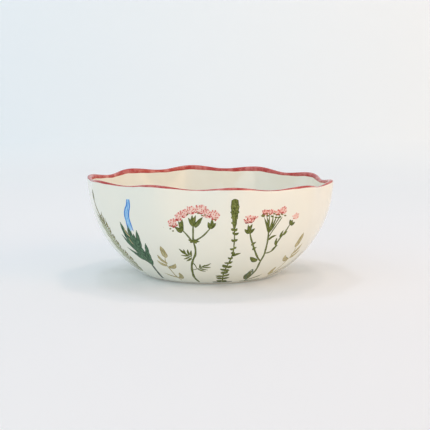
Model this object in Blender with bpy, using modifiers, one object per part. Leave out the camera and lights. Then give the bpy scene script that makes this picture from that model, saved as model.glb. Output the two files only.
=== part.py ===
"""A lobed porcelain serving bowl in three pieces: the glazed body, the coral band on its lip and the bare foot ring.

Metres, +Z up. The origin is the centre of the face that the foot ring stands on, so the axis of the bowl is the Z axis.
Each piece is a turned profile, and its upper part is then pressed into ten soft lobes that lift and spread the rim.
"""

import math

import bpy
import numpy as np

# Driving dimensions, in metres
RIM_RADIUS = 0.1125  # mean outer radius of the lip
HEIGHT = 0.090  # from the table to the mean top of the lip
WALL = 0.0045  # thickness of the wall at the lip
FLOOR_TOP = 0.011  # height of the inside floor
FLOOR_RADIUS = 0.055  # where the flat inside floor turns up into the wall
SKIRT_RADIUS = 0.0638  # outer radius of the wall's lower edge
SKIRT_HEIGHT = 0.0018  # how far that edge stands above the table
FOOT_RADIUS = 0.0595  # outer radius of the foot ring
FOOT_WIDTH = 0.007  # width of the foot ring's face
SEAT_HEIGHT = 0.006  # height of the underside that the foot ring is seated against
BAND_HEIGHT = 0.004  # height of the coral band, down from the top of the lip
GAP = 0.0003  # clearance between two pieces that touch

# The lobes
LOBES = 10
FIRST_CREST = math.radians(-7.5)  # azimuth of one crest, from +X towards +Y
WAVE = 0.0015  # how far a crest rises, and a trough drops
FLUTE = 0.021  # how far a crest spreads, as a share of the radius
WAVE_FROM = 0.5  # share of the height at which the wave begins
FLUTE_FROM = 0.25  # share of the height at which the flutes begin
WAVE_POWER = 2.0
FLUTE_POWER = 1.5

# The shape of the wall: 1 and 1 would be a straight cone, and higher values make it fuller
OUTER_FULLNESS = (2.43, 1.1)
INNER_FULLNESS = (1.9, 2.0)

# Rounded edges
FOOT_EDGE = 0.0012
SKIRT_EDGE = 0.0009

# Resolution
STEPS = 10 * LOBES  # steps round the axis
WALL_STEPS = 13  # steps up each side of the wall
LIP_STEPS = 6  # steps over the lip
EDGE_STEPS = 3  # steps round a small edge
WELD = 0.00005
SMOOTH_BELOW = math.radians(35)


def collection_named(name):
    """A new collection in the scene."""
    collection = bpy.data.collections.new(name)
    bpy.context.scene.collection.children.link(collection)
    return collection


def material(name, colour, roughness):
    """A ceramic surface: a plain Principled BSDF with no metal in it."""
    made = bpy.data.materials.new(name)
    made.use_nodes = True
    shader = made.node_tree.nodes["Principled BSDF"]
    shader.inputs["Base Color"].default_value = (*colour, 1)
    shader.inputs["Roughness"].default_value = roughness
    shader.inputs["Metallic"].default_value = 0
    made.diffuse_color = (*colour, 1)
    return made


def wall_radius(share, bottom, top, fullness):
    """Radius at this share of the wall's height: steep at the top, and drawn in to the bottom radius."""
    height_power, width_power = fullness
    return bottom + (top - bottom) * (1 - (1 - share) ** height_power) ** (1 / width_power)


def outer_radius(height):
    """Radius of the outside of the wall at a height above the table."""
    share = (height - SKIRT_HEIGHT) / (HEIGHT - SKIRT_HEIGHT)
    return wall_radius(share, SKIRT_RADIUS, RIM_RADIUS, OUTER_FULLNESS)


def inner_radius(height):
    """Radius of the inside of the wall at a height above the table."""
    share = (height - FLOOR_TOP) / (HEIGHT - FLOOR_TOP)
    return wall_radius(share, FLOOR_RADIUS, RIM_RADIUS - WALL, INNER_FULLNESS)


def heights(low, high, steps, crowding):
    """Heights from low to high: a crowding above 1 sets them closer near the low end."""
    return [low + (high - low) * (step / steps) ** crowding for step in range(steps + 1)]


def arc(centre, radius, start_deg, end_deg, steps):
    """Points of (radius, height) along an arc, with 0 degrees pointing away from the axis and 90 up."""
    points = []
    for step in range(steps + 1):
        angle = math.radians(start_deg + (end_deg - start_deg) * step / steps)
        points.append((centre[0] + radius * math.cos(angle), centre[1] + radius * math.sin(angle)))
    return points


def body_profile():
    """From the middle of the inside floor, up the inside, over to the outside, down it and in under the floor."""
    top = HEIGHT - BAND_HEIGHT - GAP
    seat_radius = FOOT_RADIUS + GAP
    inside = [(inner_radius(height), height) for height in heights(FLOOR_TOP, top, WALL_STEPS, 2)]
    above_edge = SKIRT_HEIGHT + 2 * SKIRT_EDGE
    outside = [(outer_radius(height), height) for height in heights(above_edge, top, WALL_STEPS, 1.3)]
    edge_centre = (SKIRT_RADIUS - 0.0004, SKIRT_HEIGHT + SKIRT_EDGE)
    skirt_edge = arc(edge_centre, SKIRT_EDGE, -20, -90, EDGE_STEPS)
    underside = [(seat_radius, SKIRT_HEIGHT), (seat_radius, SEAT_HEIGHT), (0, SEAT_HEIGHT)]
    return [(0, FLOOR_TOP), *inside, *reversed(outside), *skirt_edge, *underside]


def band_profile():
    """A closed loop round the top of the wall: down the outside, across, up the inside and over the round lip."""
    bottom = HEIGHT - BAND_HEIGHT
    lip_radius = WALL / 2
    lip_centre = (RIM_RADIUS - lip_radius, HEIGHT - lip_radius)
    lip = arc(lip_centre, lip_radius, 180, 0, LIP_STEPS)
    return [*lip, (outer_radius(bottom), bottom), (inner_radius(bottom), bottom)]


def foot_profile():
    """A closed loop round the foot ring: a flat face to stand on, with both of its edges rounded."""
    top = SEAT_HEIGHT - GAP
    inner = FOOT_RADIUS - FOOT_WIDTH
    outer_edge = arc((FOOT_RADIUS - FOOT_EDGE, FOOT_EDGE), FOOT_EDGE, 0, -90, EDGE_STEPS)
    inner_edge = arc((inner + FOOT_EDGE, FOOT_EDGE), FOOT_EDGE, -90, -180, EDGE_STEPS)
    return [(FOOT_RADIUS, top), *outer_edge, *inner_edge, (inner, top)]


def turned(name, profile, closed):
    """The mesh made by turning a profile of (radius, height) points once round the Z axis."""
    outline = bpy.data.meshes.new(name + "_outline")
    edges = [(index, index + 1) for index in range(len(profile) - 1)]
    if closed:
        edges.append((len(profile) - 1, 0))
    outline.from_pydata([(radius, 0, height) for radius, height in profile], edges, [])
    lathe = bpy.data.objects.new(name + "_outline", outline)
    bpy.context.scene.collection.objects.link(lathe)
    screw = lathe.modifiers.new("turn", "SCREW")
    screw.axis = "Z"
    screw.steps = STEPS
    screw.render_steps = STEPS
    screw.use_merge_vertices = True
    screw.merge_threshold = WELD
    graph = bpy.context.evaluated_depsgraph_get()
    mesh = bpy.data.meshes.new_from_object(lathe.evaluated_get(graph))
    mesh.name = name
    bpy.data.objects.remove(lathe)
    bpy.data.meshes.remove(outline)
    return mesh


def fade(height, start, power):
    """0 up to a starting share of the bowl's height, then growing to 1 at the lip."""
    return np.clip((height / HEIGHT - start) / (1 - start), 0, None) ** power


def press_lobes(mesh):
    """Moves each vertex out and up by the cosine of its place in a lobe, most at the lip and not at all low down."""
    points = np.empty(len(mesh.vertices) * 3, np.float32)
    mesh.vertices.foreach_get("co", points)
    points = points.reshape(-1, 3).astype(np.float64)
    height = points[:, 2].copy()
    azimuth = np.arctan2(points[:, 1], points[:, 0])
    lobe = np.cos(LOBES * (azimuth - FIRST_CREST))
    points[:, :2] *= (1 + FLUTE * fade(height, FLUTE_FROM, FLUTE_POWER) * lobe)[:, None]
    points[:, 2] += WAVE * fade(height, WAVE_FROM, WAVE_POWER) * lobe
    mesh.vertices.foreach_set("co", points.astype(np.float32).ravel())
    mesh.update()


def piece(name, profile, surface, collection, closed=True):
    """One finished piece: its turned profile, pressed into lobes, with its own material."""
    mesh = turned(name, profile, closed)
    press_lobes(mesh)
    mesh.shade_smooth()
    mesh.set_sharp_from_angle(angle=SMOOTH_BELOW)
    mesh.materials.append(surface)
    made = bpy.data.objects.new(name, mesh)
    collection.objects.link(made)
    return made


def main():
    for leftover in list(bpy.data.objects):
        bpy.data.objects.remove(leftover)
    bowl = collection_named("serving_bowl")
    glaze = material("porcelain_glaze", (0.86, 0.85, 0.81), 0.14)
    coral = material("coral_enamel", (0.62, 0.11, 0.09), 0.16)
    bisque = material("bare_porcelain", (0.76, 0.73, 0.67), 0.75)
    piece("bowl_body", body_profile(), glaze, bowl, closed=False)
    piece("rim_band", band_profile(), coral, bowl)
    piece("foot_ring", foot_profile(), bisque, bowl)


main()
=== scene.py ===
# %% [markdown]
# # A hand-painted porcelain serving bowl
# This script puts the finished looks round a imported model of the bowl: a glazed body with a softly lobed
# rim, a coral enamel band on the lip, a bare foot, and wildflowers painted round the outside. Each step is
# a cell, and each step says what the piece is on a real bowl before it makes it. Everything is in metres,
# with +Z up and the foot on Z = 0.

import math

import bpy
import numpy as np
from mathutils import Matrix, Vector


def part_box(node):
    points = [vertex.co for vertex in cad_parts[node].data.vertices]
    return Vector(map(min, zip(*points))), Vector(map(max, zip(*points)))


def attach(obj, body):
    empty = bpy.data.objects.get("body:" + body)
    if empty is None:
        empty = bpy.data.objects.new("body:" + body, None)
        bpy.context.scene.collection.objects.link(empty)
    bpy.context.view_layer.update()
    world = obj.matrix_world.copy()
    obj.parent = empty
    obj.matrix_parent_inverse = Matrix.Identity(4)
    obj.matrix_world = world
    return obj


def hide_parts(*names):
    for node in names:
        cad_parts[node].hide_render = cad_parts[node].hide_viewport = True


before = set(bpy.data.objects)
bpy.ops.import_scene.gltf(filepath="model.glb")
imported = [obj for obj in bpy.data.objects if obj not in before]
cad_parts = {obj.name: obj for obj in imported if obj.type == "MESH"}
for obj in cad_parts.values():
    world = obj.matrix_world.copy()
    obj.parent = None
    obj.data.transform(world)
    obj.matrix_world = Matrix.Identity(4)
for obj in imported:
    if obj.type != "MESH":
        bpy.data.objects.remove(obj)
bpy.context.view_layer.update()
MM = 0.001
print("packed nodes:", ", ".join(sorted(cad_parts)))

# %% [markdown]
# ## The shape of the wall
# A potter thinks of a bowl as one line, its outline, carried round an axis. The outline here starts at the
# wall's lower outside edge, climbs the outside, rolls over the lip and comes down the inside to the middle
# of the floor. It could be drawn by hand as a curve, but a formula keeps it smooth at any resolution, and
# the paint can then follow it exactly.

# %% Sizes of the bowl
RIM_RADIUS = 112.5 * MM
HEIGHT = 90 * MM
WALL = 4.5 * MM
FLOOR_TOP = 11 * MM
FLOOR_RADIUS = 55 * MM
SKIRT_RADIUS = 63.8 * MM
SKIRT_HEIGHT = 1.8 * MM
FOOT_RADIUS = 59.5 * MM
FOOT_WIDTH = 7 * MM
SEAT_HEIGHT = 6 * MM
GAP = 0.3 * MM
OUTER_FULLNESS = (2.43, 1.1)
INNER_FULLNESS = (1.9, 2.0)
packed_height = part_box("rim_band")[1].z
print(f"the packed lip reaches {packed_height / MM:.1f} mm, and its mean height here is {HEIGHT / MM:.1f} mm")


# %% The outline as arrays
def wall_radius(share, bottom, top, fullness):
    """Radius at a share of the wall's height: bottom plus the rest times (1 - (1 - share)^a)^(1/b)."""
    height_power, width_power = fullness
    return bottom + (top - bottom) * (1 - (1 - share) ** height_power) ** (1 / width_power)


def wall_outline(points=700):
    """(radius, height) from the lower outside edge up, over half a circle at the lip, down to the floor."""
    lip = WALL / 2
    climb = np.linspace(0, 1, points) ** 1.3
    outside_height = SKIRT_HEIGHT + (HEIGHT - lip - SKIRT_HEIGHT) * climb
    outside_share = (outside_height - SKIRT_HEIGHT) / (HEIGHT - SKIRT_HEIGHT)
    outside = wall_radius(outside_share, SKIRT_RADIUS, RIM_RADIUS, OUTER_FULLNESS)
    turn = np.linspace(0, math.pi, points // 4)[1:-1]
    inside_height = FLOOR_TOP + (HEIGHT - lip - FLOOR_TOP) * np.linspace(1, 0, points) ** 2
    inside_share = (inside_height - FLOOR_TOP) / (HEIGHT - FLOOR_TOP)
    inside = wall_radius(inside_share, FLOOR_RADIUS, RIM_RADIUS - WALL, INNER_FULLNESS)
    floor = np.linspace(FLOOR_RADIUS, 0, points // 4)[1:]
    radius = np.concatenate([outside, RIM_RADIUS - lip + lip * np.cos(turn), inside, floor])
    over_lip = HEIGHT - lip + lip * np.sin(turn)
    height = np.concatenate([outside_height, over_lip, inside_height, floor * 0 + FLOOR_TOP])
    return np.stack([radius, height], axis=-1)


outline = wall_outline()
outline_steps = np.diff(outline, axis=0)
outline_way = np.concatenate([[0], np.cumsum(np.hypot(outline_steps[:, 0], outline_steps[:, 1]))])
outline_tangent = np.gradient(outline, axis=0)
outline_tangent /= np.linalg.norm(outline_tangent, axis=1, keepdims=True)
outline_normal = np.stack([outline_tangent[:, 1], -outline_tangent[:, 0]], axis=-1)
LIP_WAY = outline_way[np.argmax(outline[:, 1])]
WALL_END = outline_way[-1]
print(f"the wall is {LIP_WAY / MM:.1f} mm from its lower edge to the lip, measured along the outside")

# %% [markdown]
# ## Lobes, and the maker's hand
# The wet rim is eased into ten soft lobes. Each lobe lifts and spreads the wall a little, most at the lip
# and not at all near the foot. A hand-made rim is never quite flat or round either, so a few slow waves of
# about a millimetre are added. The same function moves every point of the bowl and of its paint, so they
# always agree.

# %% Lobes and slow waves
LOBES = 10
FIRST_CREST = math.radians(-7.5)
WAVE = 1.5 * MM
FLUTE = 0.021
# Each fade is (share of the height where it begins, power of its growth up to the lip)
SPREAD_FADE = (0.25, 1.5)
LIFT_FADE = (0.5, 2.0)
# Each slow wave is (waves round the rim, size, angle of its crest from the front towards the right)
SLOW_LIFT = ((1, 1.4 * MM, -105), (2, 1.1 * MM, -12), (3, 0.3 * MM, 65))
SLOW_SPREAD = ((1, 0.6 * MM, -90), (2, 1.3 * MM, 90), (3, 0.9 * MM, 26))


def from_front(degrees):
    """Azimuth in radians of an angle in degrees, counted from the front of the bowl towards the right."""
    return np.radians(degrees) - math.pi / 2


def slow_waves(azimuth, waves):
    """The sum of size times cosine of count times the angle from each wave's own crest."""
    total = np.zeros_like(azimuth)
    for count, size, crest in waves:
        total += size * np.cos(count * (azimuth - from_front(crest)))
    return total


def fade(height, start, power):
    """0 up to a starting share of the height, then growing to 1 at the lip."""
    return np.clip((height / HEIGHT - start) / (1 - start), 0, None) ** power


def pressed(azimuth, radius, height, crease=0.0):
    """Points in space: the radius and the height grow by the cosine of the place in a lobe, plus slow waves.

    A crease of 1 replaces the spreading cosine by straight runs between crest and trough.
    """
    lobe = np.cos(LOBES * (azimuth - FIRST_CREST))
    straight = 1 - 2 * np.arccos(lobe) / math.pi
    lobe_spread = FLUTE * (lobe + crease * (straight - lobe)) * radius
    spread = fade(height, *SPREAD_FADE) * (lobe_spread + slow_waves(azimuth, SLOW_SPREAD))
    lift = fade(height, *LIFT_FADE) * (WAVE * lobe + slow_waves(azimuth, SLOW_LIFT))
    far = radius + spread
    return np.stack([far * np.cos(azimuth), far * np.sin(azimuth), height + lift], axis=-1)


def at_way(way, along):
    """The values that an array along the outline has at these ways."""
    return np.interp(way, outline_way, along)


def on_wall(azimuth, way, proud=0.0):
    """The point a way along the outline at an azimuth, moved out along the outline's normal by proud."""
    radius = at_way(way, outline[:, 0]) + proud * at_way(way, outline_normal[:, 0])
    height = at_way(way, outline[:, 1]) + proud * at_way(way, outline_normal[:, 1])
    return pressed(azimuth, radius, height)


# %% [markdown]
# ## From grids to pieces
# Every piece below is a grid of points, rows along the outline and columns round the bowl. One helper gives
# the grid's faces. It closes the grid round the bowl, and joins the last row to the first where the piece
# is a loop.

# %% Mesh helpers
COLUMNS = 420
SHARP_ABOVE = math.radians(50)
around = np.linspace(0, 2 * math.pi, COLUMNS, endpoint=False)


def ring_faces(rows, columns, loop=False):
    """Quads between neighbouring rows and columns, which face away from the axis.

    The last column is joined to the first, and in a loop the last row is joined to the first too.
    """
    row, column = np.meshgrid(np.arange(rows if loop else rows - 1), np.arange(columns), indexing="ij")
    low = row * columns
    high = (row + 1) % rows * columns
    beside = (column + 1) % columns
    return np.stack([low + column, low + beside, high + beside, high + column], axis=-1).reshape(-1, 4)


def new_piece(name, points, faces):
    """A smooth-shaded object with its place in its mesh."""
    mesh = bpy.data.meshes.new(name)
    mesh.from_pydata(points.reshape(-1, 3).tolist(), [], [list(face) for face in faces])
    mesh.shade_smooth()
    mesh.set_sharp_from_angle(angle=SHARP_ABOVE)
    mesh.update()
    made = bpy.data.objects.new(name, mesh)
    bpy.context.scene.collection.objects.link(made)
    print(f"{name}: {len(mesh.vertices)} points, {len(mesh.polygons)} faces")
    return made


def rounded(corners, size, steps=4):
    """The corners as one line, with each inner one cut by a parabola that starts and ends size away."""
    line = [corners[0]]
    for before, corner, after in zip(corners[:-2], corners[1:-1], corners[2:]):
        toward_before = (before - corner) / np.linalg.norm(before - corner)
        toward_after = (after - corner) / np.linalg.norm(after - corner)
        for t in np.linspace(0, 1, steps + 1):
            line.append(corner + size * (toward_before * (1 - t) ** 2 + toward_after * t ** 2))
    line.append(corners[-1])
    return np.array(line)


# %% [markdown]
# ## The glazed body
# On the real bowl the wall, the floor and the lip are one casting under one clear glaze, so they are one
# surface here. It could be a Screw modifier on a curve, but the lobes bend every ring of it, so the grid is
# worked out directly. The underside ends in a turned seat that the foot stands in.

# %% Build the body
LIP_ROWS = 20
WALL_ROWS = 62
LIP_REACH = 5 * MM
SKIRT_EDGE = 1.2 * MM
SKIRT_WAY = 3 * MM  # where the rows of the wall take over from the rounded lower edge
UNDER_START = 4 * MM  # radius of the underside's first row
FLOOR_END = 2 * MM  # radius of the floor's last row
CREASE_FROM = 6 * MM  # how far below the lip, on the inside, the straight runs begin
CREASE_OVER = 8 * MM  # and over how much of the wall they come in


def body_ways():
    """Ways along the outline: close together over the lip, and spread out down both sides."""
    up = np.linspace(0, LIP_WAY - LIP_REACH, WALL_ROWS)
    over = np.linspace(LIP_WAY - LIP_REACH, LIP_WAY + LIP_REACH, LIP_ROWS)[1:-1]
    down = np.linspace(LIP_WAY + LIP_REACH, WALL_END - FLOOR_END, WALL_ROWS)
    return np.concatenate([up, over, down])


def build_body():
    """One closed surface: the underside from the axis out, the outside, the lip, the inside and the floor."""
    seat = FOOT_RADIUS + GAP
    edge = np.array([SKIRT_RADIUS, SKIRT_HEIGHT])
    above_edge = outline[np.searchsorted(outline_way, SKIRT_WAY)]
    corners = np.array([
        [UNDER_START, SEAT_HEIGHT], [seat, SEAT_HEIGHT], [seat, SKIRT_HEIGHT], edge, above_edge])
    underside = rounded(corners, SKIRT_EDGE)[:-1]
    ways = body_ways()
    ways = ways[ways > SKIRT_WAY]
    radius = np.concatenate([underside[:, 0], at_way(ways, outline[:, 0])])
    height = np.concatenate([underside[:, 1], at_way(ways, outline[:, 1])])
    below_band = np.clip((ways - LIP_WAY - CREASE_FROM) / CREASE_OVER, 0, 1)
    crease = np.concatenate([underside[:, 0] * 0, below_band])
    grid = pressed(around[None, :], radius[:, None], height[:, None], crease[:, None]).reshape(-1, 3)
    rows = len(radius)
    poles = np.array([[0, 0, SEAT_HEIGHT], [0, 0, FLOOR_TOP]])
    first = np.arange(COLUMNS)
    following = (first + 1) % COLUMNS
    last = (rows - 1) * COLUMNS
    under_pole = rows * COLUMNS
    under_fan = np.stack([following, first, first * 0 + under_pole], axis=-1)
    floor_fan = np.stack([last + first, last + following, first * 0 + under_pole + 1], axis=-1)
    faces = [*ring_faces(rows, COLUMNS).tolist(), *under_fan.tolist(), *floor_fan.tolist()]
    return new_piece("glazed_body", np.concatenate([grid, poles]), faces)


body = build_body()
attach(body, "root")
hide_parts("bowl_body")

# %% [markdown]
# ## The coral band on the lip
# The lip is brushed with coral enamel by hand, with the bowl turning on a wheel. The coat comes out wider
# on the crests of the lobes and narrower in the troughs, and both of its edges wander. It has real
# thickness, so it is a skin that stands a little proud of the glaze and sinks into it at both edges.

# %% Build the band
COAT = 0.12 * MM
SUNK_EDGE = 0.05 * MM
BAND_ROWS = 26
# Each edge is (way from the top of the lip, how much wider on a crest, size and counts of its wandering)
OUTER_EDGE = (2.35 * MM, 0.7 * MM, 0.14 * MM, (7, 13, 23, 41))
INNER_EDGE = (5.0 * MM, 0.5 * MM, 0.3 * MM, (5, 11, 19, 37))
rng = np.random.default_rng(11)


def wandering(azimuth, size, counts):
    """A smooth random line round the bowl: a sum of cosines with random phases, of about the given size."""
    phases = rng.uniform(0, 2 * math.pi, len(counts))
    total = np.zeros_like(azimuth)
    for count, phase in zip(counts, phases):
        total += np.cos(count * azimuth + phase)
    return size * total / math.sqrt(len(counts))


def band_edge(edge, side):
    """Ways of one edge: the lip's own, plus a reach that grows on the crests, plus wandering."""
    reach, wider, wander, counts = edge
    lobe = np.cos(LOBES * (around - FIRST_CREST))
    return LIP_WAY + side * (reach + wider * lobe) + wandering(around, wander, counts)


def build_band():
    """Rows from the outer edge of the coat, over the lip, to its inner edge, and back to the first row."""
    outer_edge = band_edge(OUTER_EDGE, -1)
    inner_edge = band_edge(INNER_EDGE, 1)
    share = np.linspace(0, 1, BAND_ROWS)[:, None]
    way = outer_edge[None, :] * (1 - share) + inner_edge[None, :] * share
    rise = 1 - np.abs(2 * share - 1) ** 8
    proud = (COAT + SUNK_EDGE) * rise - SUNK_EDGE
    grid = on_wall(around[None, :], way, proud)
    return new_piece("coral_band", grid, ring_faces(BAND_ROWS, COLUMNS, loop=True))


band = build_band()
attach(band, "root")
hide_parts("rim_band")

# %% [markdown]
# ## The bare foot
# The ring that the bowl stands on is wiped clean of glaze before the firing, or it would stick to the kiln
# shelf. It is a turned ring with soft edges. Its top runs a little way into the body, so no gap shows from
# below.

# %% Build the foot
FOOT_EDGE = 0.45 * MM
FLARE = 0.6 * MM  # how far the ring widens where it meets the glazed underside
FLARE_FROM = SKIRT_HEIGHT - 0.3 * MM
FLARE_TO = SKIRT_HEIGHT + 0.2 * MM
FOOT_SUNK = 0.1 * MM  # how far the ring runs up into the body


def build_foot():
    """A closed loop: flat below, rounded at both lower edges and flared where it meets the underside."""
    inner = FOOT_RADIUS - FOOT_WIDTH
    flared = FOOT_RADIUS + FLARE
    top = SEAT_HEIGHT + FOOT_SUNK
    corners = np.array([
        [inner, top], [inner, 0], [FOOT_RADIUS, 0],
        [FOOT_RADIUS, FLARE_FROM], [flared, FLARE_TO], [flared, top]])
    line = rounded(corners, FOOT_EDGE)
    grid = pressed(around[None, :], line[:, :1], line[:, 1:])
    return new_piece("bare_foot", grid, ring_faces(len(line), COLUMNS, loop=True))


foot = build_foot()
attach(foot, "root")
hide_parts("foot_ring")

# %% [markdown]
# ## Finishes
# Two effects are shared by the finishes, so each is a shader node group: how a glaze thickens and thins,
# and the tiny specks that a hand-made clay body shows through its glaze. A finish is easier to read when
# each node is one short call that gives back the socket to use next, so the common nodes have a helper
# each.

# %% Node helpers
def plug(tree, node, sockets):
    """Gives each named input of a node its value, or a link from the output that stands in its place."""
    for label, given in sockets.items():
        if isinstance(given, bpy.types.NodeSocket):
            tree.links.new(given, node.inputs[label])
        else:
            node.inputs[label].default_value = given


def add(tree, kind, sockets, **settings):
    """A new node in a tree, with its settings made first and its inputs plugged after them."""
    node = tree.nodes.new(kind)
    for key, value in settings.items():
        setattr(node, key, value)
    plug(tree, node, sockets)
    return node


def noise(tree, place, scale, detail=2.0, roughness=0.5):
    """Cloudy values round one half."""
    sockets = {"Vector": place, "Scale": scale, "Detail": detail, "Roughness": roughness}
    return add(tree, "ShaderNodeTexNoise", sockets).outputs["Fac"]


def worked_out(tree, operation, *terms):
    """One operation on its terms, in their order."""
    return add(tree, "ShaderNodeMath", dict(enumerate(terms)), operation=operation).outputs["Value"]


def ramp(tree, value, low, high, rise="LINEAR"):
    """0 up to a low value, 1 from a high one, and a straight or smooth rise between them."""
    sockets = {"Value": value, "From Min": low, "From Max": high}
    return add(tree, "ShaderNodeMapRange", sockets, interpolation_type=rise).outputs["Result"]


def blend(tree, share, none, full):
    """One colour where the share is 0, another where it is 1, and their mix between."""
    sockets = {"Factor": share, "A": none, "B": full}
    return add(tree, "ShaderNodeMix", sockets, data_type="RGBA").outputs["Result"]


def bumps(tree, height, strength, distance):
    """The normal of a surface that rises and falls by a height."""
    sockets = {"Height": height, "Strength": strength, "Distance": distance}
    return add(tree, "ShaderNodeBump", sockets).outputs["Normal"]


# %% Groups that the finishes share
FLOAT, COLOUR, VECTOR = "NodeSocketFloat", "NodeSocketColor", "NodeSocketVector"


def new_group(name, inputs, outputs):
    """A shader node group with named sockets: itself, what it is given, and its output node."""
    group = bpy.data.node_groups.new(name, "ShaderNodeTree")
    for label, kind in inputs:
        group.interface.new_socket(name=label, in_out="INPUT", socket_type=kind)
    for label, kind in outputs:
        group.interface.new_socket(name=label, in_out="OUTPUT", socket_type=kind)
    return group, add(group, "NodeGroupInput", {}).outputs, add(group, "NodeGroupOutput", {})


def build_glaze_group():
    """Broad noise blends a thin colour with a pooled one, and fine noise adds to roughness and height."""
    group, given, out = new_group(
        "glaze_depth",
        (("Vector", VECTOR), ("Thin", COLOUR), ("Pooled", COLOUR), ("Scale", FLOAT), ("Roughness", FLOAT)),
        (("Colour", COLOUR), ("Roughness", FLOAT), ("Height", FLOAT)),
    )
    broad = noise(group, given["Vector"], given["Scale"], detail=3)
    fine = noise(group, given["Vector"], 260)
    plug(group, out, {
        "Colour": blend(group, ramp(group, broad, 0.35, 0.7), given["Thin"], given["Pooled"]),
        "Roughness": worked_out(group, "MULTIPLY_ADD", fine, 0.08, given["Roughness"]),
        "Height": worked_out(group, "MULTIPLY_ADD", fine, 0.04, broad),
    })
    return group


SPECK = (0.45, 0.36, 0.26, 1)


def build_speck_group():
    """A small distance to the nearest cell marks dots, and only those where coarse noise is high are kept."""
    group, given, out = new_group(
        "clay_specks",
        (("Vector", VECTOR), ("Colour", COLOUR), ("Scale", FLOAT), ("Size", FLOAT), ("Strength", FLOAT)),
        (("Colour", COLOUR),),
    )
    cells = add(group, "ShaderNodeTexVoronoi", {"Vector": given["Vector"], "Scale": given["Scale"]})
    dots = worked_out(group, "LESS_THAN", cells.outputs["Distance"], given["Size"])
    kept = worked_out(group, "GREATER_THAN", noise(group, given["Vector"], 45), 0.58)
    share = worked_out(group, "MULTIPLY", worked_out(group, "MULTIPLY", dots, kept), given["Strength"])
    plug(group, out, {"Colour": blend(group, share, given["Colour"], SPECK)})
    return group


glaze_depth = build_glaze_group()
clay_specks = build_speck_group()


# %% Starting a finish
def use_group(tree, group, sockets):
    """The outputs of a group that is placed in a material, with this finish's own values and links."""
    return add(tree, "ShaderNodeGroup", sockets, node_tree=group).outputs


def new_finish(name):
    """An empty material: itself, its tree, its shader, and the object coordinates that its patterns read."""
    made = bpy.data.materials.new(name)
    made.use_nodes = True
    tree = made.node_tree
    return made, tree, tree.nodes["Principled BSDF"], add(tree, "ShaderNodeTexCoord", {}).outputs["Object"]


def speckled_clay(name, tone, specks, strength, distance):
    """Glaze depth for the tone and the gloss, specks over it, and bumps of the same depth."""
    made, tree, shader, place = new_finish(name)
    depth = use_group(tree, glaze_depth, {"Vector": place, **tone})
    dotted = use_group(tree, clay_specks, {"Vector": place, "Colour": depth["Colour"], **specks})
    plug(tree, shader, {
        "Base Color": dotted["Colour"],
        "Roughness": depth["Roughness"],
        "Normal": bumps(tree, depth["Height"], strength, distance),
    })
    return made


# %% The clear glaze over white porcelain
def porcelain_glaze():
    """Off-white porcelain under a clear glaze, with a few faint specks and a soft unevenness."""
    thin, pooled = (0.89, 0.875, 0.765, 1), (0.86, 0.855, 0.755, 1)
    tone = {"Thin": thin, "Pooled": pooled, "Scale": 16, "Roughness": 0.09}
    specks = {"Scale": 110, "Size": 0.06, "Strength": 0.22}
    return speckled_clay("porcelain_glaze_fine", tone, specks, strength=0.25, distance=0.6 * MM)


# %% The bare foot's clay
def bare_porcelain():
    """Unglazed porcelain: matt and faintly warm, with grain, specks and a little grey wear."""
    thin, pooled = (0.74, 0.70, 0.63, 1), (0.62, 0.57, 0.50, 1)
    tone = {"Thin": thin, "Pooled": pooled, "Scale": 60, "Roughness": 0.72}
    specks = {"Scale": 700, "Size": 0.22, "Strength": 0.6}
    return speckled_clay("bare_porcelain_fine", tone, specks, strength=0.6, distance=0.4 * MM)


# %% The coral enamel
CORAL_FULL = (0.45, 0.04, 0.035, 1)
CORAL_THIN = (0.68, 0.25, 0.22, 1)


def coral_enamel():
    """Coral paint under gloss: noise blends the full coat with a thinned one, and glaze depth gives bumps."""
    made, tree, shader, place = new_finish("coral_enamel_fine")
    depth = use_group(tree, glaze_depth, {"Vector": place, "Scale": 90, "Roughness": 0.12})
    streaks = ramp(tree, noise(tree, place, 110, detail=4, roughness=0.6), 0.42, 0.72)
    thinned = worked_out(tree, "MULTIPLY", streaks, 0.95)
    plug(tree, shader, {
        "Base Color": blend(tree, thinned, CORAL_FULL, CORAL_THIN),
        "Roughness": depth["Roughness"],
        "Normal": bumps(tree, depth["Height"], strength=0.3, distance=0.2 * MM),
    })
    return made


for piece, finish in ((body, porcelain_glaze()), (band, coral_enamel()), (foot, bare_porcelain())):
    piece.data.materials.append(finish)
    print(f"{piece.name} is finished in {finish.name}")

# %% [markdown]
# ## How the flowers are painted
# On the real bowl a painter puts down a few hundred quick strokes of coloured slip round the wall, plant by
# plant, and the clear glaze goes over them. A painted picture on the glaze would need an image, and an
# image can't be redrawn at another size. So each stroke is a real, paper-thin mark that follows the wall,
# as the brush did: a line through a few given points, a width that swells and tapers, and a crown in
# the middle. Places are in millimetres along the wall: right of the plant's own upright line, and up from
# the wall's lower edge.

# %% The line and the width of a stroke
def smooth_line(points, steps):
    """A curve through points: cubic pieces whose slope at each point is the central difference there."""
    points = np.array(points, float)
    way = np.concatenate([[0], np.cumsum(np.linalg.norm(np.diff(points, axis=0), axis=1))])
    slope = np.gradient(points, way, axis=0)
    at = np.linspace(0, way[-1], steps)
    piece = np.clip(np.searchsorted(way, at, side="right") - 1, 0, len(way) - 2)
    length = (way[piece + 1] - way[piece])[:, None]
    t = (at[:, None] - way[piece, None]) / length
    start, end = points[piece], points[piece + 1]
    leave, arrive = slope[piece] * length, slope[piece + 1] * length
    from_start = (2 * t ** 3 - 3 * t ** 2 + 1) * start + (t ** 3 - 2 * t ** 2 + t) * leave
    return from_start + (3 * t ** 2 - 2 * t ** 3) * end + (t ** 3 - t ** 2) * arrive


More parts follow.
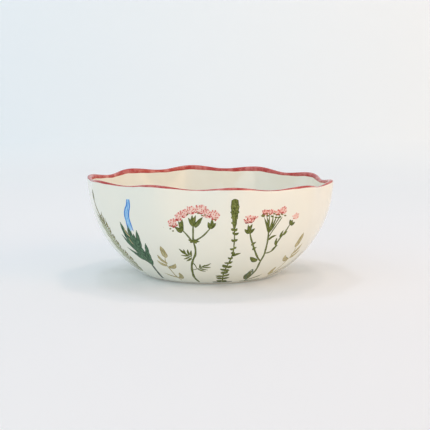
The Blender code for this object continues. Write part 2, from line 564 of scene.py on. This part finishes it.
def swell(kind, share):
    """Width along a stroke: full low down for a leaf, high for a petal, round for a dab, even for a stem."""
    if kind == "leaf":
        return 2.75 * share ** 0.6 * (1 - share) ** 0.9
    if kind == "petal":
        return 2.54 * share ** 1.1 * (1 - share) ** 0.45
    if kind == "dab":
        return np.sqrt(1 - (2 * share - 1) ** 2)
    return (1.12 - 0.3 * share) * np.sqrt(1 - np.abs(2 * share - 1) ** 9)


def colour(red, green, blue):
    """A linear colour from a paint chart's 0 to 255 values: the power curve of displays, undone."""
    shares = np.array([red, green, blue]) / 255
    return (*np.where(shares < 0.04, shares / 12.9, ((shares + 0.055) / 1.055) ** 2.4), 1.0)


# Each ink is (its tone where the brush pools, its tone where it is thin), out of 255
CHART = {
    "leaf green": ((68, 78, 20), (122, 130, 62)),
    "stem green": ((78, 86, 34), (120, 128, 74)),
    "deep green": ((28, 62, 40), (90, 128, 94)),
    "dark stem": ((56, 68, 54), (88, 100, 80)),
    "moss": ((58, 70, 16), (140, 148, 76)),
    "olive": ((94, 88, 34), (140, 134, 74)),
    "sky blue": ((48, 116, 200), (96, 164, 226)),
    "blue wash": ((132, 190, 234), (176, 216, 240)),
    "ochre": ((156, 142, 86), (200, 190, 148)),
    "dry grass": ((108, 112, 72), (178, 180, 138)),
    "grass wash": ((196, 200, 166), (212, 215, 190)),
    "wine": ((120, 34, 32), (160, 62, 56)),
    "red": ((168, 42, 44), (204, 90, 84)),
    "rose": ((204, 94, 90), (226, 138, 126)),
    "blush": ((234, 166, 154), (240, 200, 186)),
    "faint blush": ((238, 194, 182), (240, 216, 202)),
}
INKS = {name: [colour(*tone) for tone in tones] for name, tones in CHART.items()}
print("inks:", ", ".join(INKS))

# %% [markdown]
# ## From strokes to a plant
# All the strokes of one plant are one piece. Each stroke is a closed sliver: a crowned top that stands less
# than a fifth of a millimetre proud, and edges tucked just under the glaze. Strokes in a higher layer lie a
# hair above the others, so they cover them cleanly, as wet paint does.

# %% A plant gathers its strokes
ACROSS = np.linspace(-1, 1, 5)
TUCK = 0.03 * MM
PAINT = 0.045 * MM
LAYER = 0.03 * MM
STROKE_STEP = 0.002 * MM  # how much higher than the last stroke the next one lies, a dozen times over
STEPS_IN_A_CYCLE = 12
LOWEST_PAINT = 1.9 * MM
ROW_LENGTH = 0.9 * MM
WOBBLE = 0.1
WOBBLE_LENGTH = 1.6 * MM
# How much wider the loaded brush prints than the line that was aimed for
BRUSH_SPREAD = {"stem": 1.25, "leaf": 1.5, "petal": 1.3, "dab": 1.15}


class Plant:
    """One painted plant: where it stands, how big it is, which way it faces and leans, and its strokes."""

    def __init__(self, name, angle, size=1.0, facing=1, lean=0.0):
        self.name = name
        self.anchor = from_front(angle)
        self.size = size
        self.facing = facing
        self.lean = lean
        self.hand = np.random.default_rng([ord(letter) for letter in name])
        self.strokes = []

    def stroke(self, points, width, ink, kind="stem", layer=0):
        """Rows along the line, columns across: each point is the line plus its side times half the width."""
        laid = np.array(points, float)
        laid[:, 0] = self.facing * laid[:, 0] + self.lean * laid[:, 1]
        laid *= self.size * MM
        length = np.linalg.norm(np.diff(laid, axis=0), axis=1).sum()
        steps = int(np.clip(length / ROW_LENGTH, 6, 48))
        line = smooth_line(laid, steps)
        tangent = np.gradient(line, axis=0)
        tangent /= np.linalg.norm(tangent, axis=1, keepdims=True)
        side = np.stack([-tangent[:, 1], tangent[:, 0]], axis=-1)
        share = np.linspace(0.004, 0.996, steps)
        unsteady = 1 + WOBBLE * np.sin(share * length / WOBBLE_LENGTH + self.hand.uniform(0, 2 * math.pi))
        half = 0.5 * width * BRUSH_SPREAD[kind] * self.size * MM * swell(kind, share) * unsteady
        flat = line[:, None, :] + side[:, None, :] * (half[:, None] * ACROSS)[..., None]
        thickness = PAINT + LAYER * layer + STROKE_STEP * (len(self.strokes) % STEPS_IN_A_CYCLE)
        crown = (thickness + TUCK) * (1 - ACROSS ** 4) - TUCK
        proud = np.broadcast_to(crown, flat.shape[:2])
        brush = np.stack([
            np.broadcast_to(share[:, None] * length / MM, flat.shape[:2]),
            np.broadcast_to(ACROSS, flat.shape[:2]),
            np.full(flat.shape[:2], self.hand.uniform(0, 60)),
        ], axis=-1)
        self.strokes.append((flat, proud, brush, ink))

    def piece(self):
        """Every stroke bent onto the wall, in one mesh, with its inks and brush place as attributes."""
        points, faces, brushes, pooled, thin = [], [], [], [], []
        start = 0
        for flat, proud, brush, ink in self.strokes:
            way = np.maximum(flat[..., 1], LOWEST_PAINT)
            azimuth = self.anchor + flat[..., 0] / at_way(way, outline[:, 0])
            points.append(on_wall(azimuth, way, proud).reshape(-1, 3))
            here = np.arange(way.size).reshape(way.shape) + start
            beside = np.roll(here, -1, axis=1)
            sides = np.stack([here[:-1], here[1:], beside[1:], beside[:-1]], axis=-1).reshape(-1, 4)
            faces += [*sides.tolist(), here[0].tolist(), here[-1, ::-1].tolist()]
            brushes.append(brush.reshape(-1, 3))
            pooled.append(np.tile(INKS[ink][0], (way.size, 1)))
            thin.append(np.tile(INKS[ink][1], (way.size, 1)))
            start += way.size
        made = new_piece(self.name, np.concatenate(points), faces)
        carried = (
            ("brush", "FLOAT_VECTOR", "vector", brushes), ("pooled", "FLOAT_COLOR", "color", pooled),
            ("thin", "FLOAT_COLOR", "color", thin))
        for label, kind, field, values in carried:
            attribute = made.data.attributes.new(label, kind, "POINT")
            attribute.data.foreach_set(field, np.concatenate(values).ravel())
        made.data.materials.append(flower_paint)
        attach(made, "root")
        return made


# %% [markdown]
# ## The look of the paint
# Slip that has been brushed on pools dark along its edges and stays thin in the middle, with faint streaks
# along the stroke. The attributes carry each stroke's two inks and where each point is in its stroke, and
# the material mixes them. The glaze is over the paint, so it is as smooth and glossy as the porcelain round
# it.

# %% The paint's material
def painted_slip():
    """Thin ink in the middle and pooled ink at the edges, or wherever a streak runs along the stroke."""
    made, tree, shader, place = new_finish("painted_slip")
    brush = add(tree, "ShaderNodeAttribute", {}, attribute_name="brush").outputs["Vector"]
    pooled = add(tree, "ShaderNodeAttribute", {}, attribute_name="pooled").outputs["Color"]
    thin = add(tree, "ShaderNodeAttribute", {}, attribute_name="thin").outputs["Color"]
    across = add(tree, "ShaderNodeSeparateXYZ", {"Vector": brush}).outputs["Y"]
    edge = ramp(tree, worked_out(tree, "ABSOLUTE", across), 0.35, 0.85, "SMOOTHSTEP")
    stretched = add(tree, "ShaderNodeMapping", {"Vector": brush, "Scale": (0.35, 2.2, 1)}).outputs["Vector"]
    streaks = ramp(tree, noise(tree, stretched, 1, detail=3), 0.4, 0.62)
    load = worked_out(tree, "MAXIMUM", edge, streaks)
    depth = use_group(tree, glaze_depth, {"Vector": place, "Scale": 40, "Roughness": 0.18})
    plug(tree, shader, {
        "Base Color": blend(tree, load, thin, pooled),
        "Roughness": depth["Roughness"],
        "Specular IOR Level": 0.3,
    })
    return made


flower_paint = painted_slip()

# %% [markdown]
# ## Leaves, calyxes and flower heads
# A few marks come back from plant to plant, so each is a function. A leaf is one stroke with a bend. A
# calyx is a fan of short leaves from one point. A flower head is a pale oval with petals over it and dark
# dabs at its root.

# %% Marks that the plants share
def leaf(plant, base, tip, width, ink, bend=0.0, layer=1):
    """One leaf-shaped stroke whose middle is pushed sideways by bend times its length."""
    base, tip = np.array(base, float), np.array(tip, float)
    along = tip - base
    middle = (base + tip) / 2 + bend * np.array([-along[1], along[0]])
    plant.stroke([base, middle, tip], width, ink, "leaf", layer)


def leaves(plant, ink, bend, rows):
    """One leaf for each row of (x and height of its base, x and height of its tip, width)."""
    for x, s, tip_x, tip_s, width in rows:
        leaf(plant, (x, s), (tip_x, tip_s), width, ink, bend)


def calyx(plant, base, tips, width, ink="leaf green"):
    """Short leaves from one base to each tip, none of them quite straight."""
    for tip in tips:
        leaf(plant, base, tip, width, ink, plant.hand.uniform(-0.08, 0.08))


def oval(plant, centre, length, width, ink, angle, layer):
    """A dab: a round-ended stroke through its centre, turned by an angle in degrees from level."""
    reach = 0.5 * length * np.array([math.cos(math.radians(angle)), math.sin(math.radians(angle))])
    centre = np.array(centre, float)
    plant.stroke([centre - reach, centre, centre + reach], width, ink, "dab", layer)


def turned(arrow, angle):
    """An arrow turned by an angle: the rotation matrix times the arrow."""
    cosine, sine = math.cos(angle), math.sin(angle)
    return np.array([[cosine, -sine], [sine, cosine]]) @ arrow


# %% Flower heads
# Each set of inks is (the wash, the petals, the darker petals and dabs low down)
DEEP = ("blush", "red", "wine")
PINK = ("faint blush", "rose", "red")
PALE = ("faint blush", "blush", "rose")
GOLDEN_ANGLE = math.radians(137.5)


def flower_head(plant, x, s, width, height, inks, petals, dabs):
    """A wash, petal strokes a golden angle apart that point away from the root, and dabs at the root."""
    wash, full, dark = inks
    hand = plant.hand
    centre = np.array([x, s], float)
    half = 0.5 * np.array([width, height])
    root = centre - (0, half[1])
    oval(plant, centre, 1.95 * half[0], 1.9 * half[1], wash, hand.uniform(-12, 12), 1)
    for index in range(petals):
        turn = index * GOLDEN_ANGLE + hand.uniform(-0.3, 0.3)
        place = centre + math.sqrt((index + 0.7) / petals) * half * (math.cos(turn), math.sin(turn))
        outward = (place - root) / (np.linalg.norm(place - root) + 0.1)
        outward = turned(outward, hand.uniform(-0.9, 0.9))
        reach = hand.uniform(0.7, 1.2) * outward
        bend = hand.uniform(-0.5, 0.5) * np.array([-outward[1], outward[0]])
        ink = dark if place[1] < centre[1] and index % 2 else full
        plant.stroke([place - reach, place + bend, place + reach], hand.uniform(0.9, 1.3), ink, "petal", 2)
    for _ in range(dabs):
        dab = root + half * (hand.uniform(-0.6, 0.6), hand.uniform(0.1, 0.6))
        oval(plant, dab, hand.uniform(1.8, 2.8), hand.uniform(0.9, 1.4), dark, hand.uniform(-40, 40), 3)


# %% [markdown]
# ## Six kinds of wildflower
# The bowl repeats six wildflowers: a seeding grass, a blue spike over a tuft of lance leaves, a dry ochre
# sprig, a flat-topped pink umbel, a leafy green spike and a branching pink herb. Each is drawn by its own
# function, with the stem or the palest wash first and the marks that lie over them after it.

# %% Seeding grass
def grass(plant):
    """A long bowed stem with a bud at its tip, a faint wash along it, and feathery seeds on both sides."""
    stem = [
        (13, 3), (16, 14), (20, 26), (20, 36), (18, 46), (17, 56),
        (15, 66), (11, 74), (7, 80), (3.5, 87), (1.5, 93)]
    rise = smooth_line(stem, 90)
    plant.stroke(rise[30:68:6] - (4, 0), 11, "grass wash")
    plant.stroke(stem[:8], 1.2, "dry grass")
    plant.stroke(stem[6:], 2.4, "olive", "stem", 1)
    leaf(plant, (3.6, 89), (0.6, 98.5), 4.6, "moss", 0.05, 2)
    for index, (x, s) in enumerate(rise[10:72:2]):
        reach = 3.0 + 1.2 * math.sin(index * 1.7)
        right_ink = "dry grass" if index % 3 else "olive"
        left_ink = right_ink if index % 2 else "dry grass"
        leaf(plant, (x, s), (x + 1.3 * reach, s + 1.4 * reach), 1.0, right_ink, -0.1)
        leaf(plant, (x, s - 1), (x - 3.0 * reach, s + 1.4 * reach), 1.2, left_ink, 0.1)
    for x, s in ((14, 75), (17, 70), (18, 64), (19, 58), (19.5, 52), (22, 40), (23, 34)):
        leaf(plant, (x, s - 4), (x + 1.5, s + 2), 1.7, "olive", -0.1, 2)


# %% Blue spike over lance leaves
def blue_spike(plant):
    """A wavering double stroke of blue above a tuft of lance leaves that part from the stem in turn."""
    wash = [(1.6, 95), (1.4, 89), (-0.7, 84), (-1.2, 79), (-0.5, 74), (0.2, 66)]
    right_edge = [(3.1, 95), (3.3, 88), (1.8, 83.5), (1.3, 79), (2.2, 73.5), (3.5, 66)]
    left_edge = [(0.1, 95), (-0.2, 90), (-2.6, 86), (-3.7, 80), (-3.0, 75), (-2.6, 68)]
    plant.stroke(wash, 4.6, "blue wash")
    plant.stroke(right_edge, 1.5, "sky blue", "stem", 2)
    plant.stroke(left_edge, 1.4, "sky blue", "stem", 2)
    plant.stroke([(1.4, 93), (1.2, 88), (-0.6, 82), (-0.4, 77)], 0.7, "sky blue", "stem", 1)
    plant.stroke([(2.6, 4.5), (5, 18), (6.4, 32)], 2.3, "dark stem")
    lances = (
        (-0.5, 48, -11.5, 74, 4.6, 0.03), (2, 42, -13.5, 61.5, 2.8, 0.04), (4, 37, -13.5, 47.5, 2.4, 0.05),
        (5, 33, -7.5, 41, 2.4, 0.06), (3, 46, 7.5, 68, 3.8, -0.04), (6, 38, 13, 55.5, 3.2, -0.08),
        (7, 33, 10.5, 49, 2.8, -0.1), (0, 50, -2.5, 72, 4.4, 0.0), (2.5, 44, 2.5, 64, 3.8, 0.0),
        (2, 42, -8.5, 57, 3.4, 0.03), (3, 40, -6, 66, 4.0, 0.02), (5.5, 33, 4.5, 58, 3.8, 0.0),
        (6.5, 29, -4, 52, 3.8, 0.05), (6.8, 28, 1.5, 47, 4.4, 0.03), (7, 28, 8.5, 46, 3.4, -0.05),
    )
    for x, s, tip_x, tip_s, width, bend in lances:
        leaf(plant, (x, s), (tip_x, tip_s), width, "deep green", bend, 2 if tip_x > -5 else 1)
    plant.stroke([(6.5, 27), (3, 40), (-2, 54), (-7, 66)], 0.7, "dark stem", "stem", 3)
    leaf(plant, (-3, 60), (-8, 69), 1.5, "ochre", 0.1, 4)
    leaf(plant, (-2, 52), (-5, 59), 0.9, "ochre", 0.1, 4)


# %% Dry ochre sprig
def ochre_sprig(plant):
    """A bent stem with a broad leaf at its tip, a pair to the left, one to the right and two low down."""
    plant.stroke([(3.8, 5), (1.2, 13), (0, 22), (-1.6, 31), (0.6, 42)], 1.0, "ochre")
    leaf(plant, (1.4, 40), (-0.4, 53.5), 4.3, "ochre")
    leaf(plant, (0, 32), (-6.8, 43), 2.5, "ochre", 0.1)
    leaf(plant, (-1, 28.5), (-9.5, 36), 2.6, "ochre", 0.12)
    leaf(plant, (-1, 26), (7.8, 33), 3.2, "ochre", -0.16)
    leaf(plant, (4.5, 9.5), (-9.5, 17), 1.5, "ochre", 0.05)
    leaf(plant, (4.2, 8), (6.4, 19.5), 3.3, "ochre", -0.1)
    veins = (((1.0, 43), (0.3, 50), 0.6), ((-2.5, 35), (-5, 40), 0.5), ((-1, 27.5), (5.5, 31), 0.5))
    for base, tip, width in veins:
        plant.stroke([base, tip], width, "dry grass", "stem", 3)


# %% Flat-topped pink umbel
def umbel(plant):
    """A stem that forks in three, a calyx on each branch, two feathery leaves, and a row of flower heads."""
    green = "stem green"
    stem = [(0.6, 2.5), (-2.6, 12), (-3.1, 22), (-2.4, 32), (-0.6, 39), (2.2, 46), (2.7, 53), (1.4, 60)]
    plant.stroke(stem, 2.0, green)
    plant.stroke([(1.4, 60), (1.8, 67), (2.2, 75)], 1.6, green)
    plant.stroke([(0.6, 60), (-3.5, 66), (-7.5, 71)], 1.4, green)
    plant.stroke([(2.5, 60), (10.2, 65.5), (17, 73)], 1.4, green)
    for tip in ((-3, 61.5), (-1.5, 58.5), (4.5, 57.8), (7.2, 59.8), (4, 62)):
        leaf(plant, (1.6, 60), tip, 1.7, "leaf green")
    calyx(plant, (-7, 69.5), ((-14, 73.5), (-12.5, 70.5), (-10.5, 78.5), (-7, 80.5)), 2.7)
    calyx(plant, (2.4, 74), ((-2, 82), (1.6, 84.5), (4.8, 84.5), (10.8, 83)), 2.4)
    calyx(plant, (3.5, 73), ((9.5, 79), (7.5, 81)), 1.1, green)
    calyx(plant, (16.8, 72), ((15, 78.5), (18.5, 81), (21.8, 77.5)), 2.7)
    leaves(plant, "leaf green", 0.06, (
        (-4, 44.5, -11.8, 52, 1.7), (-6.3, 46, -7.6, 51.5, 1.3), (-3, 44.5, -4.2, 51.5, 1.6),
        (-1.5, 43, -1.0, 50.5, 1.5), (-3.5, 44, -10.8, 44.6, 1.4), (-3, 43, -8.8, 39.6, 1.6),
        (-1.5, 41.5, -6.6, 37.2, 1.9),
    ))
    plant.stroke([(-0.9, 42), (-3.8, 44.2), (-6.8, 47)], 0.8, green)
    plant.stroke([(-1.2, 36), (0.8, 31), (1.6, 27)], 0.9, green)
    leaves(plant, "leaf green", -0.06, (
        (3.8, 28.4, 4.8, 34, 1.3), (4.6, 28.4, 9.4, 33, 1.5), (7.5, 30.5, 14.6, 35, 1.2),
        (6.5, 29.2, 14, 29.4, 1.4), (3.5, 28, 11.2, 25.2, 1.3), (1.6, 27, 9.0, 22.8, 1.5),
    ))
    plant.stroke([(-2.3, 25), (1.6, 26.8), (5, 28.6), (8, 30.6)], 0.8, green)
    for x, s, width, height, petals, dabs in (
            (-15.5, 76.5, 8.0, 8.0, 14, 3), (-10, 82.5, 6.5, 8.0, 13, 2), (-5.5, 85.5, 6.5, 7.0, 12, 1),
            (1.0, 88.5, 9.0, 7.5, 15, 2), (9.0, 89.5, 10.0, 8.5, 17, 2), (14.8, 85.5, 8.0, 7.5, 13, 2),
            (20.8, 84, 8.5, 9.0, 16, 2)):
        flower_head(plant, x, s, width, height, PINK, petals, dabs)
    for place in (
            (-17.6, 71.5), (-15.4, 69.5), (-16, 74), (6.8, 86.2), (10.2, 84.2), (12.8, 84.6), (-2.3, 85),
            (21, 80.8)):
        oval(plant, place, 1.8, 1.3, "olive", 20, 4)


# %% Leafy green spike
def green_spike(plant):
    """A wavering stem packed with small leaves, closer and shorter higher up, that ends in a thick club."""
    green = "leaf green"
    hand = plant.hand
    stem = [
        (-1, 2), (-2.2, 12), (-2.6, 20), (-0.6, 33), (1.2, 41),
        (2.2, 49), (2.1, 56), (1.7, 65), (0.9, 75), (0.3, 84)]
    plant.stroke(stem, 1.2, green)
    plant.stroke([(-10, 3.4), (-1.3, 2.6), (8, 3.4)], 1.8, "dark stem", "stem", 1)
    # Each pair of leaves is (height, length, angle up from level)
    pairs = (
        (6, 5.4, 5), (10, 6.6, 15), (15, 6.0, 30), (20, 4.6, 40), (25, 4.4, 35), (30, 5.0, 40),
        (35, 4.2, 30), (40, 3.4, 50), (46, 2.8, 50), (52, 3.2, 40), (60, 3.2, 35), (66, 3.6, 40),
        (71, 3.4, 30), (76, 2.6, 60),
    )
    rise = smooth_line(stem, 90)
    for s, reach, angle in pairs:
        x = float(np.interp(s, rise[:, 1], rise[:, 0]))
        for side in (-1, 1):
            length = reach * hand.uniform(0.8, 1.15)
            turn = math.radians(angle + hand.uniform(-24, 24))
            root = s + hand.uniform(-1.2, 0.8)
            tip = (x + side * length * math.cos(turn), root + length * math.sin(turn))
            width = hand.uniform(1.7, 2.3) * (1.3 if s < 35 else 1.0)
            leaf(plant, (x - 0.3 * side, root), tip, width, green, -0.1 * side)
            if reach > 4:
                low = (x + 0.8 * side * length, s + 0.15 * length)
                leaf(plant, (x, s - 1.2), low, 1.7, green, 0.1 * side)
    leaf(plant, (1.4, 43.5), (9.2, 46.8), 2.2, green, 0.05, 2)
    plant.stroke([(1.2, 68), (0.9, 80), (0.7, 88), (0.6, 97)], 5.0, green, "petal", 1)
    plant.stroke([(0.6, 97.4), (0.8, 90), (1.0, 81)], 6.0, green, "stem", 1)
    for row, s in enumerate(np.arange(77, 94, 2.4)):
        spread = min(1.3 + 0.15 * (s - 76), 2.6) * (0.6 if s > 92 else 1.0)
        for share in ((-1, 0, 1), (-0.55, 0.55))[row % 2]:
            x = 0.7 + share * spread + hand.uniform(-0.3, 0.3)
            oval(plant, (x, s + hand.uniform(-0.4, 0.4)), 2.6, 1.9, "moss", hand.uniform(20, 160), 2)


# %% Branching pink herb
def pink_herb(plant):
    """A leaning stem with a flower on each of two side branches, and a flat cluster of heads on top."""
    green = "stem green"
    stem = [
        (-1.5, 2), (0.4, 12), (1.8, 22), (1.1, 34), (1.8, 43), (1.2, 51), (0.5, 60), (-0.9, 69), (-2.6, 76)]
    left_branch = [(0.8, 35), (-3.2, 39.5), (-8.5, 47.5), (-14, 57.5), (-17.3, 64.5), (-19, 70)]
    right_branch = [(1.8, 44.5), (7.2, 45.8), (10.4, 50), (11.3, 56), (13.4, 60.5), (17, 66), (20.8, 73.5)]
    folded_leaf = [(1.2, 4), (-3.6, 10), (-4.6, 18), (-2.4, 23.5), (0.2, 18), (0.6, 10)]
    plant.stroke(stem, 1.9, green)
    plant.stroke(left_branch, 1.6, "leaf green")
    plant.stroke(right_branch, 1.6, green)
    calyx(plant, (-19, 67), ((-24, 71.5), (-21.5, 75.5), (-17.6, 76), (-14.4, 71.8)), 2.3)
    calyx(plant, (21.4, 72), ((19.6, 77.5), (23, 77), (26, 74.8)), 2.4)
    leaves(plant, "leaf green", 0.1, (
        (-14.2, 54.5, -10.4, 58.2, 2.0), (-12, 49.5, -8.4, 52.6, 2.0), (-2.4, 36.5, -11.4, 41.5, 3.2),
        (-2.4, 36.5, -9, 36.6, 3.2), (0.8, 59, 8.4, 63.6, 2.0), (11, 52.5, 9.6, 61, 2.0),
        (8.4, 46, 12.8, 53, 2.0), (13.4, 60, 14.8, 68, 2.0), (15.4, 62.5, 19.4, 66.5, 2.0),
    ))
    for tip in ((-7, 82), (-4.6, 83), (-1.4, 84), (2.2, 83.5), (5.4, 82)):
        leaf(plant, (-0.9, 67), tip, 1.5, "leaf green", plant.hand.uniform(-0.06, 0.06))
    plant.stroke([(-0.5, 66), (3, 71), (6, 76.5), (8.8, 81.5)], 1.2, green, "stem", 1)
    plant.stroke([(0.6, 62), (3.6, 68.5), (7.6, 75), (11.5, 81)], 1.0, green, "stem", 1)
    for x, s, angle in ((-3.4, 82.8, 5), (1.2, 82, -20), (5.2, 80.8, -10), (8.6, 80.8, 15)):
        oval(plant, (x, s), 3.6, 1.6, "leaf green", angle, 2)
    leaf(plant, (-6, 83.5), (-10.4, 83.2), 2.0, "olive", 0.1, 2)
    plant.stroke(folded_leaf, 0.9, "deep green", "stem", 2)
    leaf(plant, (-1.5, 6), (-1.8, 22), 5.0, green, 0.1)
    leaf(plant, (0.5, 5), (13.5, 13), 1.3, green, -0.05)
    plant.stroke([(-6, 2.4), (5, 2.6), (15, 3.4)], 0.9, "deep green", "stem", 1)
    for x, s, width, height, inks, petals, dabs in (
            (-20.6, 78.8, 10, 4.0, DEEP, 10, 4), (-18.6, 82, 11, 3.2, PINK, 10, 2),
            (-5.6, 86.2, 7.5, 5.0, DEEP, 11, 2), (0.2, 86.2, 7.0, 4.5, PINK, 11, 2),
            (6.6, 85.4, 6.5, 4.5, PINK, 11, 2), (11.8, 86.8, 8.0, 6.5, PINK, 13, 2),
            (26, 80, 7.0, 5.5, PALE, 10, 0)):
        flower_head(plant, x, s, width, height, inks, petals, dabs)
    for place in (
            (-8, 84), (-4.5, 85), (-1, 84.2), (3, 84.4), (5.5, 83.2), (8, 83), (11, 83.2), (14.2, 81.8)):
        oval(plant, place, 2.8, 1.4, "olive", plant.hand.uniform(-40, 20), 3)


# %% A bent blade
def blade(plant):
    """One long blade of grass that bows away to the right, with a shorter one under it."""
    plant.stroke([(-2, 5), (8, 12), (18, 24), (24.5, 37)], 2.0, "dark stem")
    plant.stroke([(-8, 3), (2, 6), (10, 11)], 0.9, "dry grass")


# %% [markdown]
# ## Round the bowl
# The seven plants and the bent blade on the front are followed by more of the same six kinds round the
# sides and the back. They are a little bigger or smaller, some face the other way, and the gaps between
# them are uneven, as a painter's would be.

# %% Plant the meadow
# Each row is (name, how it is drawn, angle from the front, size, 1 or -1 for the way it faces, lean), without
# its last values where they are the usual ones
MEADOW = (
    ("seeding_grass_left", grass, -68),
    ("blue_spike_front", blue_spike, -41),
    ("ochre_sprig_front", ochre_sprig, -25),
    ("pink_umbel_front", umbel, -9),
    ("green_spike_front", green_spike, 10),
    ("pink_herb_front", pink_herb, 28),
    ("ochre_sprig_right", ochre_sprig, 51, 1.17, -1),
    ("bent_blade_right", blade, 51),
    ("green_spike_right", green_spike, 86, 0.92, -1, 0.03),
    ("blue_spike_right", blue_spike, 103, 1.0, -1, 0.02),
    ("seeding_grass_right", grass, 122, 0.95, -1, 0.04),
    ("pink_umbel_back_right", umbel, 137, 1.02, -1),
    ("ochre_sprig_back_right", ochre_sprig, 154, 1.1),
    ("green_spike_back", green_spike, 167, 0.96, 1, -0.04),
    ("pink_herb_back", pink_herb, 185, 0.98, -1),
    ("ochre_sprig_back", ochre_sprig, 205, 1.05, -1, 0.05),
    ("blue_spike_back", blue_spike, 217, 0.97),
    ("pink_umbel_back_left", umbel, 241, 0.96),
    ("green_spike_left", green_spike, 259, 0.94, -1, 0.03),
    ("ochre_sprig_left", ochre_sprig, 271),
)
for name, draw, *stance in MEADOW:
    plant = Plant(name, *stance)
    draw(plant)
    plant.piece()
print(f"painted {len(MEADOW)} plants")

# %% [markdown]
# ## The table and the light
# The bowl stands on a pale seamless sweep. It is a round one, so that it looks the same from every side.
# Two small lamps high over the bowl give its shadow an outline, one warm and one cool. A warm lamp on the
# right faces a cool one on the left, two big ones in front fill the wall, and an even pale sky does the
# rest. The sweep also glows with painted light: weakest near the bowl, cooler at -X and warmer at +X.

# %% Build the sweep
SWEEP_FLAT = 2.4
SWEEP_BEND = 0.9
SWEEP_TOP = 2.6
SWEEP_COLUMNS = 96


def build_sweep():
    """A flat disc that curves up into a wall: radius and height from a quarter circle between the two."""
    turn = np.linspace(0, math.pi / 2, 24)
    disc = np.linspace(0.01, SWEEP_FLAT, 12)
    bend = SWEEP_FLAT + SWEEP_BEND * np.sin(turn)
    radius = np.concatenate([disc, bend, [SWEEP_FLAT + SWEEP_BEND]])[:, None]
    height = np.concatenate([disc * 0, SWEEP_BEND * (1 - np.cos(turn)), [SWEEP_TOP]])[:, None]
    angle = np.linspace(0, 2 * math.pi, SWEEP_COLUMNS, endpoint=False)
    grid = np.stack([radius * np.cos(angle), radius * np.sin(angle), height + 0 * angle], axis=-1)
    middle = list(range(SWEEP_COLUMNS))
    return new_piece("pale_sweep", grid, [*ring_faces(len(radius), SWEEP_COLUMNS).tolist(), middle])


sweep = build_sweep()

# %% The sweep's paper, and the light painted into its glow
PAPER_THIN = (0.83, 0.84, 0.85, 1)
PAPER_POOLED = (0.815, 0.828, 0.84, 1)
# Painted light on the sweep: emission colours that stand in for lamp light, weakest near the bowl, and cooler
# at -X and warmer at +X further out
NEAR_PAINTED_LIGHT = (0.075, 0.085, 0.085, 1)
COOL_PAINTED_LIGHT = (0.15, 0.20, 0.225, 1)
WARM_PAINTED_LIGHT = (0.30, 0.25, 0.20, 1)


def pale_paper_painted_light():
    """Matt paper with painted light: an emission that stands in for lamp light, weakest near the bowl, cooler
    at -X and warmer at +X.
    """
    made, tree, shader, place = new_finish("pale_paper_painted_light")
    paper = use_group(tree, glaze_depth, {
        "Vector": place, "Thin": PAPER_THIN, "Pooled": PAPER_POOLED, "Scale": 1.2, "Roughness": 0.85})
    sideways = add(tree, "ShaderNodeSeparateXYZ", {"Vector": place}).outputs["X"]
    far_painted_light = blend(tree, ramp(tree, sideways, -1.2, 1.2), COOL_PAINTED_LIGHT, WARM_PAINTED_LIGHT)
    distance = add(tree, "ShaderNodeVectorMath", {"Vector": place}, operation="LENGTH").outputs["Value"]
    plug(tree, shader, {
        "Base Color": paper["Colour"],
        "Roughness": paper["Roughness"],
        # Painted light: the sweep's emission stands in for lamp light
        "Emission Color": blend(tree, ramp(tree, distance, 0.1, 1.9, "SMOOTHSTEP"), NEAR_PAINTED_LIGHT, far_painted_light),
        "Emission Strength": 1,
    })
    return made


sweep.data.materials.append(pale_paper_painted_light())

# %% Build the lights
# Each lamp is (name, place, size, watts, colour)
LAMPS = (
    ("warm_high", (0.24, 0.3, 1.3), 0.16, 2.0, (1.0, 0.76, 0.62)),
    ("cool_high", (-0.25, 0.3, 1.3), 0.16, 1.5, (0.84, 0.88, 1.0)),
    ("warm_right", (0.95, -0.6, 0.8), 0.5, 2.3, (1.0, 0.42, 0.13)),
    ("cool_left", (-0.95, -0.35, 1.1), 0.5, 1.0, (0.80, 0.90, 1.0)),
    ("front_left", (-1.1, -2.2, 0.65), 1.0, 4.5, (0.82, 0.95, 1.0)),
    ("front_right", (1.9, -1.6, 0.6), 1.0, 5.9, (1.0, 0.62, 0.27)),
)
SKY_COLOUR = (0.847, 0.915, 1.0, 1)
SKY_STRENGTH = 0.62


def soft_lamp(name, place, size, watts, tone):
    """A square area lamp that faces the middle of the bowl."""
    lamp = bpy.data.lights.new(name, "AREA")
    lamp.size = size
    lamp.energy = watts
    lamp.color = tone
    made = bpy.data.objects.new(name, lamp)
    made.location = place
    made.rotation_euler = (Vector((0, 0, HEIGHT / 2)) - Vector(place)).to_track_quat("-Z", "Y").to_euler()
    made.visible_camera = False
    bpy.context.scene.collection.objects.link(made)


for lamp in LAMPS:
    soft_lamp(*lamp)
sky = bpy.data.worlds.new("pale_sky")
sky.use_nodes = True
plug(sky.node_tree, sky.node_tree.nodes["Background"], {"Color": SKY_COLOUR, "Strength": SKY_STRENGTH})
bpy.context.scene.world = sky
bpy.context.scene.view_settings.view_transform = "Standard"
print(f"{len(LAMPS)} lamps and a pale sky")

# %% [markdown]
# ## The camera
# The bowl is seen from the front, from a little above the rim, through a long lens that keeps its ellipse
# flat.

# %% Place the camera
LENS = 85.4
CAMERA_PLACE = (0, -954 * MM, 176.8 * MM)
CAMERA_DIP = 7.30  # degrees down from level
CAMERA_PAN = -0.25  # degrees round, from straight ahead
camera_data = bpy.data.cameras.new("camera")
camera_data.lens = LENS
camera_data.sensor_width = 36
camera_data.clip_start = 0.05
camera = bpy.data.objects.new("camera", camera_data)
camera.location = CAMERA_PLACE
camera.rotation_euler = (math.radians(90 - CAMERA_DIP), 0, math.radians(CAMERA_PAN))
bpy.context.scene.collection.objects.link(camera)
bpy.context.scene.camera = camera
